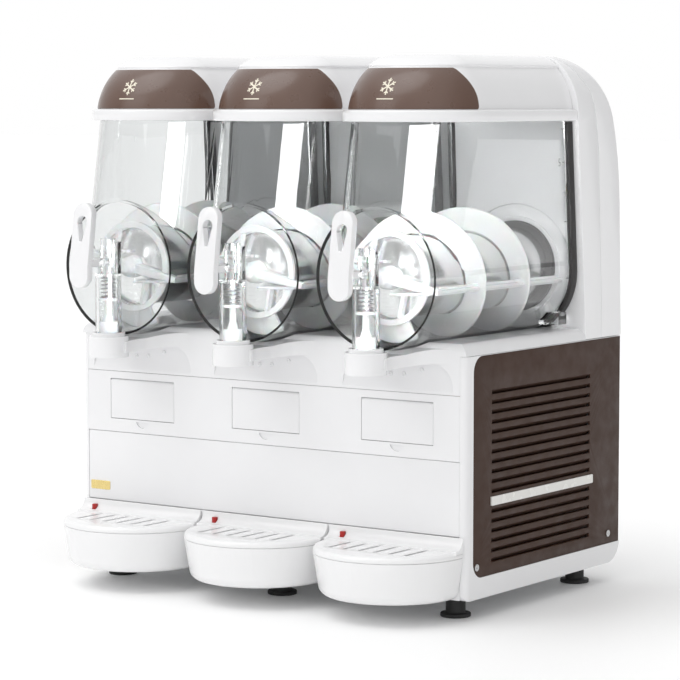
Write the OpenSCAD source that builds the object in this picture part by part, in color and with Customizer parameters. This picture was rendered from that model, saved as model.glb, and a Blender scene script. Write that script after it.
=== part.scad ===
// Three-bowl slush and granita machine, in millimetres.
// X runs across the front, -Y faces the user and Z is up. The origin is at the bottom centre.
// The modules are drawn with Y = 0 on the front panel, and placed() moves them to the origin.

/* [Cabinet] */
// Width of the cabinet
cabinet_w = 540; // [536:1:600]
// Depth of the cabinet, from the front panel to the back
cabinet_d = 340; // [336:1:380]
// Height of the tower and the lids
machine_h = 617; // [600:1:640]
// Height of the cabinet's underside on its feet
foot_h = 23; // [15:1:40]
// Height of the seam above the drip trays
low_seam_z = 93.5; // [92:0.5:96]
// Height of the seam under the control flaps
mid_seam_z = 176; // [160:1:182]
// Height of the seam under the deck
top_seam_z = 248; // [246:1:252]
// Thickness of the plastic panels
wall = 3; // [2.5:0.5:3.5]

/* [Bowls] */
// Distance between neighbouring bowls
bowl_pitch = 180; // [178:1:190]
// Outer radius of a bowl's cylinder
bowl_r = 78; // [77:1:80]
// Wall of a bowl
bowl_wall = 3; // [2:0.5:3]
// Height of the evaporator's axis
axis_z = 374; // [373:1:378]
// How far a bowl's front disc stands out from the front panel
bowl_reach = 43; // [42:0.5:44]
// Height of a bowl's rim
rim_z = 545; // [540:1:548]
// Backward lean of the hopper's front wall, in degrees
hopper_lean = 9.6; // [8:0.2:11]
// Backward lean of the tower's front wall, in degrees
tower_lean = 4.6; // [4:0.2:5]

/* [Cooling and stirring] */
// Radius of the evaporator drum
drum_r = 45; // [42:1:45]
// Outer radius of the auger's flight
flight_r = 72; // [68:1:73]
// Pitch of the auger's flight
flight_pitch = 93; // [80:1:100]
// Radius of the drive shaft
shaft_r = 7; // [6:0.5:8]

/* [Taps] */
// Distance of the tap's axis from the front panel
tap_reach = 60; // [60:1:61]
// Radius of the piston's seal
piston_r = 11.45; // [11:0.05:11.45]
// How far the lever's front face stands out from the front panel
lever_reach = 113; // [112:1:116]
// Width of the lever's paddle
lever_w = 27; // [24:1:30]

/* [Drip trays] */
// Half width of a drip tray at its rim
tray_r = 88; // [80:1:88]
// Height of a tray's rim
tray_rim_z = 72; // [68:1:72]
// Height of a tray's underside
tray_floor_z = 25; // [24:1:30]

/* [Side louvres] */
// Number of louvre positions on a side, one of which holds the white strip
louvre_count = 18; // [12:1:18]
// Distance between louvres
louvre_pitch = 10.94; // [10:0.1:11]

/* [Hidden] */
$fn = 64;
eps = 0.01;
bowls = [1, 2, 3];
function names(stem) = [for (i = bowls) str(stem, "_", i)];

half_w = cabinet_w / 2;
// The box's middle is half way between the levers' faces and the back
centre_y = (cabinet_d - lever_reach) / 2;
tap_y = -tap_reach;

// Deck
deck_z = 304;
deck_under_z = 291;
deck_edge_r = 13;
trough_r = bowl_r + 1.5;

// Cheeks and side panels
cheek_t = 8;
cheek_top_z = deck_under_z - 0.5;
panel_face_x = half_w - 1.2;
panel_t = 2.5;
panel_y0 = 15;
panel_z0 = 46;
louvre_y = [55, 270];
louvre_top_z = 248;
louvre_h = 4.5;
strip_index = 11;

// Tower: its front wall leans back from tower_y at deck height and is upright above the rim
tower_y = 257;
tower_foot_z = 295;
tower_top_y = 237;
tower_turn_z = 543;
tower_wall = 4;
tower_z0 = deck_under_z;
tower_back_y = 250;
tower_back_z = 430;
tower_back_d = cabinet_d - 5 - tower_back_y;
vault_z = 546;
vault_w = 52;

// Lids
lid_half_w = 87;
lid_band = [543, 556];
lid_rear_y = tower_top_y - 0.5;
lid_nose_y = 45;
lid_nose_d = 78;
label_inset = 4.6;
label_top_z = 602;

// Evaporators, seals and flanges
drum_y = [-8, 262];
flange_y = 248;
flange_r = 72;
seal_r = 53;

// Gaskets
gasket_t = 11;
gasket_lip = 4;
gasket_gap = 0.3;

// Augers
flight_y = [-12, 190];
flight_in_r = 46.5;
flight_t = 4;
bar_r = 61;
bar_angle = -12;
bar_y = [-14, 244];
hub_r = 12;
hub_y = -34;

// Taps
tube_r = 15;
tube_bore_r = piston_r + 0.05;
tube_z = [297.5, 368];
nozzle_r = 13;
nozzle_z = 274;
guide_r = 9;
guide_bore_r = 6;
guide_top_z = 408;
stem_r = 4;
neck_r = 3;
port_z = 307;
pivot_y = -79;
pivot_z = 381;
pivot_r = 2;
ear_x = [7, 9.5];
groove_half = 3.3;
spring_z = [340, 364];
spring_turns = 5;

// Collar and tongue on the deck
collar_r = 23;
collar_z = [272, 296];
sleeve_r = 19;
sleeve_top_z = 300.2;
cove_top_z = 281.4;
tongue_curve_r = 45;

// Drip trays, grilles and floats
tray_t = 2.5;
tray_centre_y = -8;
tray_rear_y = -1;
tray_corner_r = 11;
tray_draft = 6;
grille_top_z = 79;
grille_z0 = tray_rim_z + 0.3;
grille_rise_r = 14.5;
float_x = -68;
float_y = -6.5;

// Control flaps and switches
flap_w = 94.5;
flap_z = [192, 238.7];
flap_gap = 0.5;
barrel_r = 3.2;
flap_pin_r = 1.24;
recess_d = 30;
switch_y = 37;
switch_z = 214;
switch_r = 11;
switch_w = 14;
switch_pin_r = 1.5;

// Fan
fan_y = 165;
fan_z = 150;
fan_r = 88;

foot_places = [for (x = [-237, 0, 237]) for (y = [32, 292]) [x, y]];

function bowl_x(i) = (i - 2) * bowl_pitch;
function tower_front_y(z) = tower_y - (z - tower_foot_z) * tan(tower_lean);
function arc(cx, cy, rx, ry, a0, a1, steps) =
    [for (k = [0:steps]) let (a = a0 + (a1 - a0) * k / steps) [cx + rx * cos(a), cy + ry * sin(a)]];
// How full the vault of the lids is at height z, from 1 at its foot to 0 at its top
function vault(z) = sqrt(max(0, 1 - pow((z - vault_z) / (machine_h - vault_z), 2)));

module placed() {
    translate([0, -centre_y, 0]) children();
}

module at_bowl(i) {
    placed() translate([bowl_x(i), 0, 0]) children();
}

// Extrudes a drawing of the YZ plane along X, from x0 to x1
module along_x(x0, x1) {
    translate([x0, 0, 0]) rotate([90, 0, 90]) linear_extrude(x1 - x0) children();
}

// Extrudes a drawing of the XZ plane along Y, from y0 to y1
module along_y(y0, y1) {
    translate([0, y1, 0]) rotate([90, 0, 0]) linear_extrude(y1 - y0) children();
}

module box(x, y, z) {
    translate([x[0], y[0], z[0]]) cube([x[1] - x[0], y[1] - y[0], z[1] - z[0]]);
}

// A cylinder along Y between y0 and y1, centred at height z
module rod_y(r, y0, y1, z = axis_z) {
    translate([0, y1, z]) rotate([90, 0, 0]) cylinder(r = r, h = y1 - y0);
}

// A cylinder along X between x0 and x1, centred at y and z
module rod_x(r, x0, x1, y, z) {
    translate([x0, y, z]) rotate([0, 90, 0]) cylinder(r = r, h = x1 - x0);
}

module rounded_rect(x, y, r) {
    union() {
        translate([x[0] + r, y[0]]) square([x[1] - x[0] - 2 * r, y[1] - y[0]]);
        translate([x[0], y[0] + r]) square([x[1] - x[0], y[1] - y[0] - 2 * r]);
        for (cx = [x[0] + r, x[1] - r]) for (cy = [y[0] + r, y[1] - r]) translate([cx, cy]) circle(r);
    }
}

module mirrored_x() {
    children();
    mirror([1, 0, 0]) children();
}

// ---------- Cabinet ----------

module base_pan() {
    lip_h = 14;
    edge = half_w - cheek_t - 3;
    color("silver") placed() difference() {
        box([-edge, edge], [6, cabinet_d - 6], [foot_h, foot_h + lip_h]);
        box([-edge + 2, edge - 2], [8, cabinet_d - 8], [foot_h + 3, foot_h + lip_h + 1]);
    }
}

module foot() {
    disc_h = 4.5;
    cylinder(r = 17, h = disc_h);
    translate([0, 0, disc_h - eps]) cylinder(r = 11, h = foot_h - disc_h + eps);
}

module feet() {
    color("dimgray") placed() for (p = foot_places) translate([p[0], p[1], 0]) foot();
}

// Lugs on the plinth that carry one drip tray
module tray_lugs(clearance) {
    for (x = [-50, 50])
        box([x - 8 - clearance, x + 8 + clearance], [-6, eps], [56 - clearance, 62 + clearance]);
}

module plinth() {
    edge = half_w - cheek_t - 0.2;
    color("white") placed() {
        box([-edge, edge], [0, wall], [foot_h + 1, low_seam_z - 0.4]);
        box([-edge, edge], [wall - eps, 12], [low_seam_z - 3.4, low_seam_z - 0.4]);
        for (i = bowls) translate([bowl_x(i), 0, 0]) tray_lugs(0);
    }
}

module front_panel_lower() {
    edge = half_w - cheek_t - 0.2;
    color("white") placed() {
        box([-edge, edge], [0, wall], [low_seam_z + 0.1, mid_seam_z - 0.4]);
        box([-edge, edge], [wall - eps, 12], [mid_seam_z - 3.4, mid_seam_z - 0.4]);
    }
}

// The pocket behind one control flap, open to the front
module flap_pocket() {
    half = flap_w / 2 + flap_gap;
    z0 = flap_z[0] - flap_gap;
    z1 = flap_z[1] + flap_gap;
    difference() {
        box([-half - wall, half + wall], [0, recess_d + 2.5], [z0 - 2.5, z1 + 2.5]);
        box([-half, half], [-1, recess_d], [z0, z1]);
        flap_pin_bores();
        box([-switch_w / 2 - 0.4, switch_w / 2 + 0.4], [recess_d - 1, recess_d + 4],
            [switch_z - 10.5, switch_z + 10.5]);
    }
}

// The bores at both ends of one flap's pin
module flap_pin_bores() {
    mid_x = (flap_w + wall) / 2 + flap_gap;
    for (s = [-1, 1])
        rod_x(flap_pin_r + 0.05, s * mid_x - 3, s * mid_x + 3, barrel_r, flap_z[1] - barrel_r);
}

// The two ears that carry one switch behind its pocket
module switch_ears() {
    for (s = [-1, 1]) difference() {
        x0 = s * (switch_w / 2 + 1.6) - 1.2;
        box([x0, x0 + 2.4], [recess_d + 2.4, switch_y + 4], [switch_z - 7, switch_z + 7]);
        rod_x(switch_pin_r + 0.05, x0 - 1, x0 + 3.4, switch_y, switch_z);
    }
}

module front_panel_upper() {
    edge = half_w - cheek_t - 0.2;
    half = flap_w / 2 + flap_gap;
    notch_r = 10;
    color("white") placed() {
        difference() {
            box([-edge, edge], [0, wall], [mid_seam_z + 0.1, top_seam_z - 0.4]);
            for (i = bowls) translate([bowl_x(i), 0, 0]) {
                box([-half, half], [-1, wall + 1], [flap_z[0] - flap_gap, flap_z[1] + flap_gap]);
                rod_y(notch_r, -1, 2, flap_z[0]);
                flap_pin_bores();
            }
        }
        for (i = bowls) translate([bowl_x(i), 0, 0]) {
            flap_pocket();
            switch_ears();
        }
    }
}

module top_deck() {
    side_r = deck_edge_r;
    front_r = 9;
    skirt_t = 8;
    edge = half_w - cheek_t - 0.2;
    color("white") placed() difference() {
        union() {
            // Deck plate with rounded shoulders and a rounded front edge
            intersection() {
                along_y(0, cabinet_d) union() {
                    rounded_rect([-half_w, half_w], [deck_under_z - 2 * side_r, deck_z], side_r);
                }
                along_x(-half_w, half_w) union() {
                    translate([0, deck_under_z]) square([cabinet_d, deck_z - deck_under_z - front_r]);
                    translate([front_r, deck_under_z]) square([cabinet_d - front_r, deck_z - deck_under_z]);
                    intersection() {
                        translate([front_r, deck_z - front_r]) circle(front_r);
                        translate([0, deck_under_z]) square(2 * front_r);
                    }
                }
            }
            // Plate under the tower, and the front skirt between the cheeks
            box([-edge, edge], [250, cabinet_d - 5], [deck_under_z - 3, deck_under_z + 1]);
            box([-edge, edge], [0, skirt_t], [top_seam_z + 0.1, deck_under_z + eps]);
            for (i = bowls) translate([bowl_x(i), 0, 0]) tongue();
        }
        for (i = bowls) translate([bowl_x(i), 0, 0]) {
            rod_y(trough_r, -bowl_reach - 1, tower_y + 2);
            translate([0, tap_y, collar_z[0] - 1]) cylinder(r = nozzle_r + 1, h = 40);
            translate([0, tap_y, tube_z[0] - 1]) cylinder(r = tube_r + 0.6, h = 20);
            cove();
        }
        tower_space();
    }
}

// The shelf that runs forward from the deck to the collar under one tap
module tongue() {
    root_x = collar_r + tongue_curve_r;
    intersection() {
        translate([0, 0, collar_z[0] - 8]) linear_extrude(60) difference() {
            translate([-root_x, tap_y]) square([2 * root_x, tap_reach + 4]);
            for (s = [-1, 1]) translate([s * root_x, -tongue_curve_r]) circle(tongue_curve_r, $fn = 96);
            for (s = [-1, 1]) translate([s * (root_x + 1) - root_x + collar_r + 0.5, tap_y - 1])
                square([2 * tongue_curve_r, tap_reach - tongue_curve_r + 1]);
        }
        along_x(-root_x, root_x)
            polygon([[tap_y, 277], [tap_y, 290], [-24, 292], [4, 299], [4, cove_top_z + 0.5],
                [-3, cove_top_z], [-14, 279.8], [-30, 278]]);
    }
    translate([0, tap_y, collar_z[0]]) cylinder(r = collar_r, h = collar_z[1] - collar_z[0]);
    translate([0, tap_y, collar_z[0]]) cylinder(r = sleeve_r, h = sleeve_top_z - collar_z[0]);
}

// Arched hollow in the deck's skirt below one tongue, deepest under its top
module cove() {
    half = 72.5;
    depth = 6;
    foot_z = top_seam_z + 3;
    intersection() {
        along_y(-1, depth) rounded_rect([-half, half], [top_seam_z - 60, cove_top_z], 26);
        along_x(-half - 1, half + 1)
            polygon([[-2, cove_top_z + 1], [depth, cove_top_z + 1], [0, foot_z], [-2, foot_z]]);
    }
}

// Everything behind the tower's leaning front wall, above the deck's rear plate
module tower_space() {
    along_x(-half_w - 1, half_w + 1) polygon([
        [tower_front_y(tower_z0), tower_z0], [tower_front_y(machine_h), machine_h],
        [cabinet_d + 1, machine_h], [cabinet_d + 1, tower_z0]]);
}

module cheek() {
    front_r = 8;
    rear_r = 28;
    x0 = half_w - cheek_t;
    difference() {
        intersection() {
            translate([0, 0, foot_h]) linear_extrude(cheek_top_z - foot_h) union() {
                translate([x0, front_r]) square([cheek_t, cabinet_d - front_r]);
                intersection() {
                    translate([x0, front_r]) circle(front_r);
                    translate([x0, 0]) square(front_r + 1);
                }
            }
            along_x(x0, half_w) union() {
                rounded_rect([0, cabinet_d / 2], [foot_h, cheek_top_z + 20], front_r);
                rounded_rect([30, cabinet_d], [foot_h, cheek_top_z + 40], rear_r);
            }
        }
        // Recess for the side panel, and the air window behind it
        along_x(panel_face_x - panel_t, half_w + 1) side_panel_outline();
        box([x0 - 1, half_w], [44, 300], [54, 262]);
    }
}

module side_panel_outline() {
    corner_r = 18;
    top = cheek_top_z + 1;
    intersection() {
        rounded_rect([panel_y0, cabinet_d + 40], [panel_z0, 290], corner_r);
        translate([panel_y0, panel_z0]) square([cabinet_d - panel_y0 + 1, top - panel_z0]);
    }
}

module cheek_right() {
    color("white") placed() cheek();
}

module cheek_left() {
    color("white") placed() mirror([1, 0, 0]) cheek();
}

function louvre_z(k) = louvre_top_z - k * louvre_pitch;

module side_panel() {
    x0 = panel_face_x - panel_t;
    mid_strip = louvre_z(strip_index);
    difference() {
        along_x(x0, panel_face_x) intersection() {
            side_panel_outline();
            square([cabinet_d, 400]);
        }
        for (k = [0:louvre_count - 1]) if (k != strip_index)
            box([x0 - 1, half_w], louvre_y, [louvre_z(k) - louvre_h / 2, louvre_z(k) + louvre_h / 2]);
        box([x0 - 1, half_w], [53, 276], [mid_strip - 5, mid_strip + 5]);
    }
    // One blade slopes inward and down from the top of each slot
    for (k = [0:louvre_count - 1]) if (k != strip_index) {
        top_z = louvre_z(k) + louvre_h / 2;
        along_y(louvre_y[0] - 1, louvre_y[1] + 1) polygon([
            [x0 + 1.5, top_z + 1.5], [x0 - 4, top_z - 4.5], [x0 - 4, top_z - 5.7], [x0 + 1.5, top_z + 0.3]]);
    }
}

module side_panel_right() {
    color("saddlebrown") placed() side_panel();
}

module side_panel_left() {
    color("saddlebrown") placed() mirror([1, 0, 0]) side_panel();
}

module side_screws() {
    head_t = 1.1;
    color("silver") placed() mirrored_x() for (p = [[24, 58], [314, 58]]) difference() {
        rod_x(4, panel_face_x, panel_face_x + head_t, p[0], p[1]);
        box([panel_face_x + 0.5, half_w], [p[0] - 0.6, p[0] + 0.6], [p[1] - 2.4, p[1] + 2.4]);
        box([panel_face_x + 0.5, half_w], [p[0] - 2.4, p[0] + 2.4], [p[1] - 0.6, p[1] + 0.6]);
    }
}

module vent_strips() {
    mid_strip = louvre_z(strip_index);
    color("ghostwhite") placed() mirrored_x()
        along_x(panel_face_x - panel_t, half_w) rounded_rect([53, 276], [mid_strip - 5, mid_strip + 5], 1.5);
}

module rear_panel() {
    edge = half_w - cheek_t - 0.2;
    color("gainsboro") placed() difference() {
        union() {
            box([-edge, edge], [cabinet_d - 4, cabinet_d - 1], [foot_h + 15, deck_under_z - 0.5]);
            // Cable gland
            translate([-200, 0, 0]) rod_y(13, cabinet_d - 8, cabinet_d, 70);
        }
        for (k = [0:11])
            box([-120, 120], [cabinet_d - 5, cabinet_d], [90 + 13 * k, 95 + 13 * k]);
        translate([-200, 0, 0]) rod_y(5, cabinet_d - 9, cabinet_d + 1, 70);
    }
}

// ---------- Tower ----------

// The tower's outer form, or its inside when inset is its wall
module tower_form(inset) {
    side_x = half_w - inset;
    top_z = machine_h - inset;
    intersection() {
        along_x(-half_w, half_w) polygon(concat(
            [[tower_front_y(tower_z0 - inset) + inset, tower_z0 - inset],
             [tower_top_y + inset, tower_turn_z], [tower_top_y + inset, top_z]],
            arc(tower_back_y, tower_back_z, tower_back_d - inset, top_z - tower_back_z, 90, 0, 20),
            [[cabinet_d - inset, tower_z0 - inset]]));
        along_y(0, cabinet_d + 1) polygon(concat(
            arc(half_w - vault_w, vault_z, vault_w - inset, top_z - vault_z, 0, 90, 12),
            arc(-half_w + vault_w, vault_z, vault_w - inset, top_z - vault_z, 90, 180, 12),
            [[-side_x, tower_z0 - inset], [side_x, tower_z0 - inset]]));
    }
}

// The space in front of the seam between the tower's two mouldings, moved back by gap
module before_seam(gap) {
    along_x(-half_w - 1, half_w + 1) polygon([
        [tower_top_y - 40, tower_z0 - 20], [296 + gap, tower_z0 - 20], [283.6 + gap, 509],
        [272 + gap, 577], [254 + gap, 606], [244 + gap, machine_h + 2], [tower_top_y - 40, machine_h + 2]]);
}

module tower_front() {
    color("white") placed() difference() {
        intersection() {
            tower_form(0);
            before_seam(0);
        }
        tower_form(tower_wall);
        for (i = bowls) translate([bowl_x(i), 0, 0]) rod_y(flange_r + 0.2, 200, 290);
    }
}

module tower_cover() {
    color("white") placed() difference() {
        tower_form(0);
        tower_form(tower_wall);
        before_seam(0.6);
    }
}

// ---------- Cooling ----------

module evaporators() {
    tube_wall = 3;
    color("silver") placed() for (i = bowls) translate([bowl_x(i), 0, 0]) {
        difference() {
            rod_y(drum_r, drum_y[0], drum_y[1]);
            rod_y(drum_r - tube_wall, drum_y[0] + 6, drum_y[1] + 1);
            rod_y(shaft_r + 0.05, drum_y[0] - 1, drum_y[0] + 7);
        }
        // Refrigerant coil brazed inside the drum
        for (y = [20:30:230]) translate([0, y, axis_z]) rotate([90, 0, 0])
            rotate_extrude() translate([drum_r - tube_wall - 3.5, 0]) circle(4, $fn = 24);
        difference() {
            rod_y(shaft_r + tube_wall, drum_y[0], drum_y[1]);
            rod_y(shaft_r + 0.05, drum_y[0] - 1, drum_y[1] + 1);
        }
    }
}

module evaporator_flanges() {
    ring_t = 2.5;
    color("white") placed() for (i = bowls) translate([bowl_x(i), 0, 0]) difference() {
        union() {
            rod_y(flange_r, flange_y, drum_y[1]);
            rod_y(seal_r + 5, flange_y - ring_t, flange_y + 1);
        }
        rod_y(drum_r, flange_y - 20, drum_y[1] + 1);
        rod_y(seal_r, flange_y - 20, flange_y);
    }
}

module evaporator_seals() {
    seal_t = 9;
    color("black") placed() for (i = bowls) translate([bowl_x(i), 0, 0]) difference() {
        rod_y(seal_r, flange_y - seal_t, flange_y);
        rod_y(drum_r, flange_y - seal_t - 1, flange_y + 1);
    }
}

module gearmotors() {
    gear_y = [264, 300];
    motor_y = 326;
    color("darkgray") placed() for (i = bowls) translate([bowl_x(i), 0, 0]) difference() {
        union() {
            rod_y(38, gear_y[0], gear_y[1]);
            rod_y(26, gear_y[1] - 1, motor_y);
        }
        rod_y(shaft_r + 0.05, gear_y[0] - 1, gear_y[0] + 17);
    }
}

module compressor() {
    r = 68;
    z0 = 46;
    color("dimgray") placed() translate([-110, 180, 0]) {
        translate([0, 0, z0]) cylinder(r = r, h = 95);
        translate([0, 0, z0 + 95 - eps]) cylinder(r1 = r, r2 = r - 26, h = 34);
        for (x = [-52, 52]) for (y = [-52, 52]) translate([x, y, foot_h + 3]) cylinder(r = 12, h = 24);
    }
}

module condenser() {
    x = [212, 252];
    color("peru") placed() difference() {
        box(x, [50, 280], [foot_h + 3, 245]);
        for (z = [40:12:232]) box([x[0] - 1, x[0] + 34], [58, 272], [z, z + 6]);
    }
}

module fan_motor() {
    color("gray") placed() {
        rod_x(24, 112, 160, fan_y, fan_z);
        box([118, 154], [fan_y - 20, fan_y + 20], [foot_h + 3, fan_z - 10]);
        rod_x(3, 159, 190, fan_y, fan_z);
    }
}

module fan_blade() {
    hub = 20;
    color("lightgray") placed() translate([175, fan_y, fan_z]) rotate([0, 90, 0]) difference() {
        union() {
            cylinder(r = hub, h = 18);
            for (k = [0:4]) rotate([0, 0, 72 * k]) translate([hub - 2, -16, 8]) rotate([24, 0, 0])
                cube([fan_r - hub - 4, 34, 1.6]);
        }
        translate([0, 0, -1]) cylinder(r = 3.05, h = 17);
    }
}

// ---------- Bowls and lids ----------

// Plan of the hopper, a little narrower than the cylinder; the inset makes its inside
module hopper_plan(inset) {
    corner_r = 66;
    half = bowl_r - 0.5 - inset;
    rounded_rect([-half, half], [inset, 400], corner_r - inset);
}

// A bowl's outer form, or its inside when inset is its wall
module bowl_form(inset, top) {
    mouth_y = -38;
    mouth_z = 450;
    front_y = -bowl_reach + 3;
    rod_y(bowl_r - inset, -bowl_reach + inset, 300);
    intersection() {
        translate([0, mouth_y, mouth_z]) rotate([-hopper_lean, 0, 0]) translate([0, 0, -160])
            linear_extrude(400) hopper_plan(inset);
        box([-bowl_r - 5, bowl_r + 5], [front_y + inset, 300], [axis_z, top]);
    }
}

// The slab of the bowls' rear plane, from the gasket's front face backwards
module behind_bowl(gap) {
    along_x(-bowl_r - 20, bowl_r + 20) polygon([
        [tower_front_y(200) - gap, 200], [tower_front_y(700) - gap, 700], [500, 700], [500, 200]]);
}

module bowl(i) {
    color("lightcyan", 0.5) at_bowl(i) difference() {
        union() {
            bowl_form(0, rim_z);
            tap_body();
            // Locking tabs low at the rear
            mirrored_x() box([50, 76], [218, 236], [310, 324]);
        }
        bowl_form(bowl_wall, rim_z + 5);
        behind_bowl(gasket_t);
        tap_bores();
    }
}

// Tap tube, lever guide, web and the ears for the lever, before their bores
module tap_body() {
    translate([0, tap_y, nozzle_z]) cylinder(r = nozzle_r, h = tube_z[0] - nozzle_z + 1);
    translate([0, tap_y, tube_z[0]]) cylinder(r = tube_r, h = tube_z[1] - tube_z[0]);
    translate([0, tap_y, tube_z[1] - 1]) cylinder(r = guide_r, h = guide_top_z - tube_z[1] + 1);
    box([-5, 5], [tap_y + 7, -bowl_reach + 1], [tube_z[0] + 3, guide_top_z - 4]);
    for (s = [-1, 1]) {
        x0 = s > 0 ? ear_x[0] : -ear_x[1];
        box([x0, x0 + 2.5], [pivot_y, tap_y], [pivot_z - 5, pivot_z + 5]);
        rod_x(5, x0, x0 + 2.5, pivot_y, pivot_z);
    }
}

module tap_bores() {
    translate([0, tap_y, nozzle_z - 1]) cylinder(r = tube_bore_r, h = tube_z[1] - 3.5 - nozzle_z + 1);
    translate([0, tap_y, tube_z[1] - 4]) cylinder(r = stem_r + 0.4, h = 10);
    translate([0, tap_y, tube_z[1]]) cylinder(r = guide_bore_r, h = 60);
    // Slot for the lever's fork
    box([-5.5, 5.5], [tap_y - guide_r - 1, tap_y], [tube_z[1], 400]);
    rod_x(pivot_r + 0.05, -12, 12, pivot_y, pivot_z);
    // Port from the bowl to the tube
    rod_y(6, tap_y + 6, -bowl_reach + 8, port_z);
}

module bowl_gaskets() {
    color("black") placed() for (i = bowls) translate([bowl_x(i), 0, 0]) difference() {
        along_y(150, 300) difference() {
            gasket_outline();
            translate([0, axis_z]) circle(bowl_r - bowl_wall, $fn = 96);
            translate([-bowl_r + bowl_wall, axis_z]) square([2 * (bowl_r - bowl_wall), 200]);
        }
        behind_bowl(gasket_gap);
        along_x(-bowl_r - 20, bowl_r + 20) polygon([[0, 200], [tower_front_y(200) - gasket_t, 200],
            [tower_front_y(700) - gasket_t, 700], [0, 700]]);
    }
}

// Outer edge of a gasket, which stands proud of the bowl above the deck and fits in the trough below it
module gasket_outline() {
    edge = bowl_r + gasket_lip;
    foot_z = deck_z + gasket_gap;
    translate([0, axis_z]) circle(trough_r - gasket_gap, $fn = 96);
    intersection() {
        translate([0, axis_z]) circle(edge, $fn = 96);
        translate([-edge, foot_z]) square([2 * edge, 2 * edge]);
    }
    translate([-edge, axis_z]) square([2 * edge, rim_z - axis_z - 3]);
}

// Plan of a lid at height z, drawn inside the vault by an inset at its sides, nose and back
module lid_plan(z, side, nose, back = 0) {
    half = lid_half_w - vault_w + vault_w * vault(z) - side;
    nose_d = max(4, lid_nose_d * vault(z) - nose);
    rear_y = lid_rear_y - back;
    polygon(concat([[half, rear_y], [half, lid_nose_y]],
        arc(0, lid_nose_y, half, -nose_d, 0, 180, 24), [[-half, lid_nose_y], [-half, rear_y]]));
}

// The dome of a lid, set in a little over the label's height
module lid_dome(inset, z0, top) {
    back = inset > 0 ? 3 : 0;
    hull() for (z = [z0, 558, 572, 586, label_top_z, 609, 614, top]) {
        in = inset + (z < label_top_z + 1 ? label_inset : 1);
        translate([0, 0, z]) linear_extrude(0.01) lid_plan(z, in, in, back);
    }
}

module lid(i) {
    shell = 3;
    rim_clear = 1.2;
    ledge_z = rim_z + 0.2;
    color("white") at_bowl(i) difference() {
        union() {
            translate([0, 0, lid_band[0]]) linear_extrude(lid_band[1] - lid_band[0])
                lid_plan(vault_z, -1, -3);
            lid_dome(0, lid_band[0], machine_h - 0.5);
        }
        // Room for the bowl's rim, with a ledge over it
        translate([0, 0, lid_band[0] - 1]) linear_extrude(ledge_z - lid_band[0] + 1) union() {
            translate([-bowl_r - rim_clear, lid_nose_y])
                square([2 * (bowl_r + rim_clear), lid_rear_y - lid_nose_y + 10]);
            translate([0, lid_nose_y]) circle(bowl_r + rim_clear);
        }
        translate([0, 0, ledge_z - 1]) linear_extrude(6) lid_plan(vault_z, 13, 13, shell);
        lid_dome(shell, lid_band[0] + 6, machine_h - shell - 0.5);
    }
}

// ---------- Stirring ----------

// A square-edged helix about Z, t thick along its axis, with a number of slices in each turn
module helix(r0, r1, t, pitch, h, slices_per_turn, steps) {
    turns = h / pitch;
    half = 180 * t / pitch;
    linear_extrude(h, twist = -360 * turns, slices = round(slices_per_turn * turns), segments = 2 * steps + 2)
        polygon(concat(arc(0, 0, r1, r1, -half, half, steps), arc(0, 0, r0, r0, half, -half, steps)));
}

module auger(i) {
    color("white") at_bowl(i) {
        // The flight is wound forward from its rear end
        translate([0, flight_y[1], axis_z]) rotate([90, 0, 0])
            rotate([0, 0, 360 * (158 - flight_y[1]) / flight_pitch])
                helix(flight_in_r, flight_r, flight_t, flight_pitch, flight_y[1] - flight_y[0], 36, 2);
        translate([0, 0, axis_z]) rotate([0, -bar_angle, 0]) translate([0, 0, -axis_z]) {
            for (s = [-1, 1]) {
                box([s * bar_r - 4.5, s * bar_r + 4.5], bar_y, [axis_z - 2, axis_z + 2]);
            }
            // Arm across the front and the hub that grips the shaft
            difference() {
                union() {
                    box([-bar_r - 4.5, bar_r + 4.5], [-24, bar_y[0] + 1], [axis_z - 6, axis_z + 6]);
                    rod_y(hub_r, hub_y, bar_y[0] + 1);
                }
                rod_y(shaft_r + 0.05, hub_y + 5, bar_y[0] + 2);
            }
        }
        difference() {
            rod_y(flight_in_r + 6, bar_y[0] - 2, bar_y[0] + 2);
            rod_y(flight_in_r - 1, bar_y[0] - 3, bar_y[0] + 3);
        }
    }
}

module drive_shaft(i) {
    color("silver") at_bowl(i) rod_y(shaft_r, hub_y + 5.2, 279);
}

// ---------- Taps ----------

module tap_lever(i) {
    half = lever_w / 2;
    z0 = 354;
    z1 = 450;
    bend_z = 378;
    hole_z = 429;
    hole_r = 6.5;
    color("white") at_bowl(i) {
        // Paddle with its finger loop
        intersection() {
            along_y(-lever_reach - 1, -80) difference() {
                rounded_rect([-half, half], [z0, z1], half - eps);
                translate([0, hole_z]) circle(hole_r);
                polygon([[-hole_r + 0.3, hole_z - 2], [hole_r - 0.3, hole_z - 2], [2, 407], [-2, 407]]);
            }
            along_x(-half, half) polygon([[-lever_reach, z0], [-lever_reach, bend_z], [-103, z1],
                [-94, z1], [-103.5, bend_z], [-104, z0]]);
        }
        box([-6.5, 6.5], [-105, pivot_y], [pivot_z - 4, pivot_z + 4]);
        rod_x(5, -6.7, 6.7, pivot_y, pivot_z);
        rod_x(pivot_r, -ear_x[1] + 0.1, ear_x[1] - 0.1, pivot_y, pivot_z);
        // Fork that lifts the piston
        for (s = [-1, 1]) {
            x0 = s > 0 ? 3.3 : -5.2;
            box([x0, x0 + 1.9], [pivot_y, tap_y - 1], [pivot_z - 1.5, pivot_z + 1.5]);
            rod_x(groove_half - 0.3, x0, x0 + 1.9, tap_y - 1, pivot_z);
        }
    }
}

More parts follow.
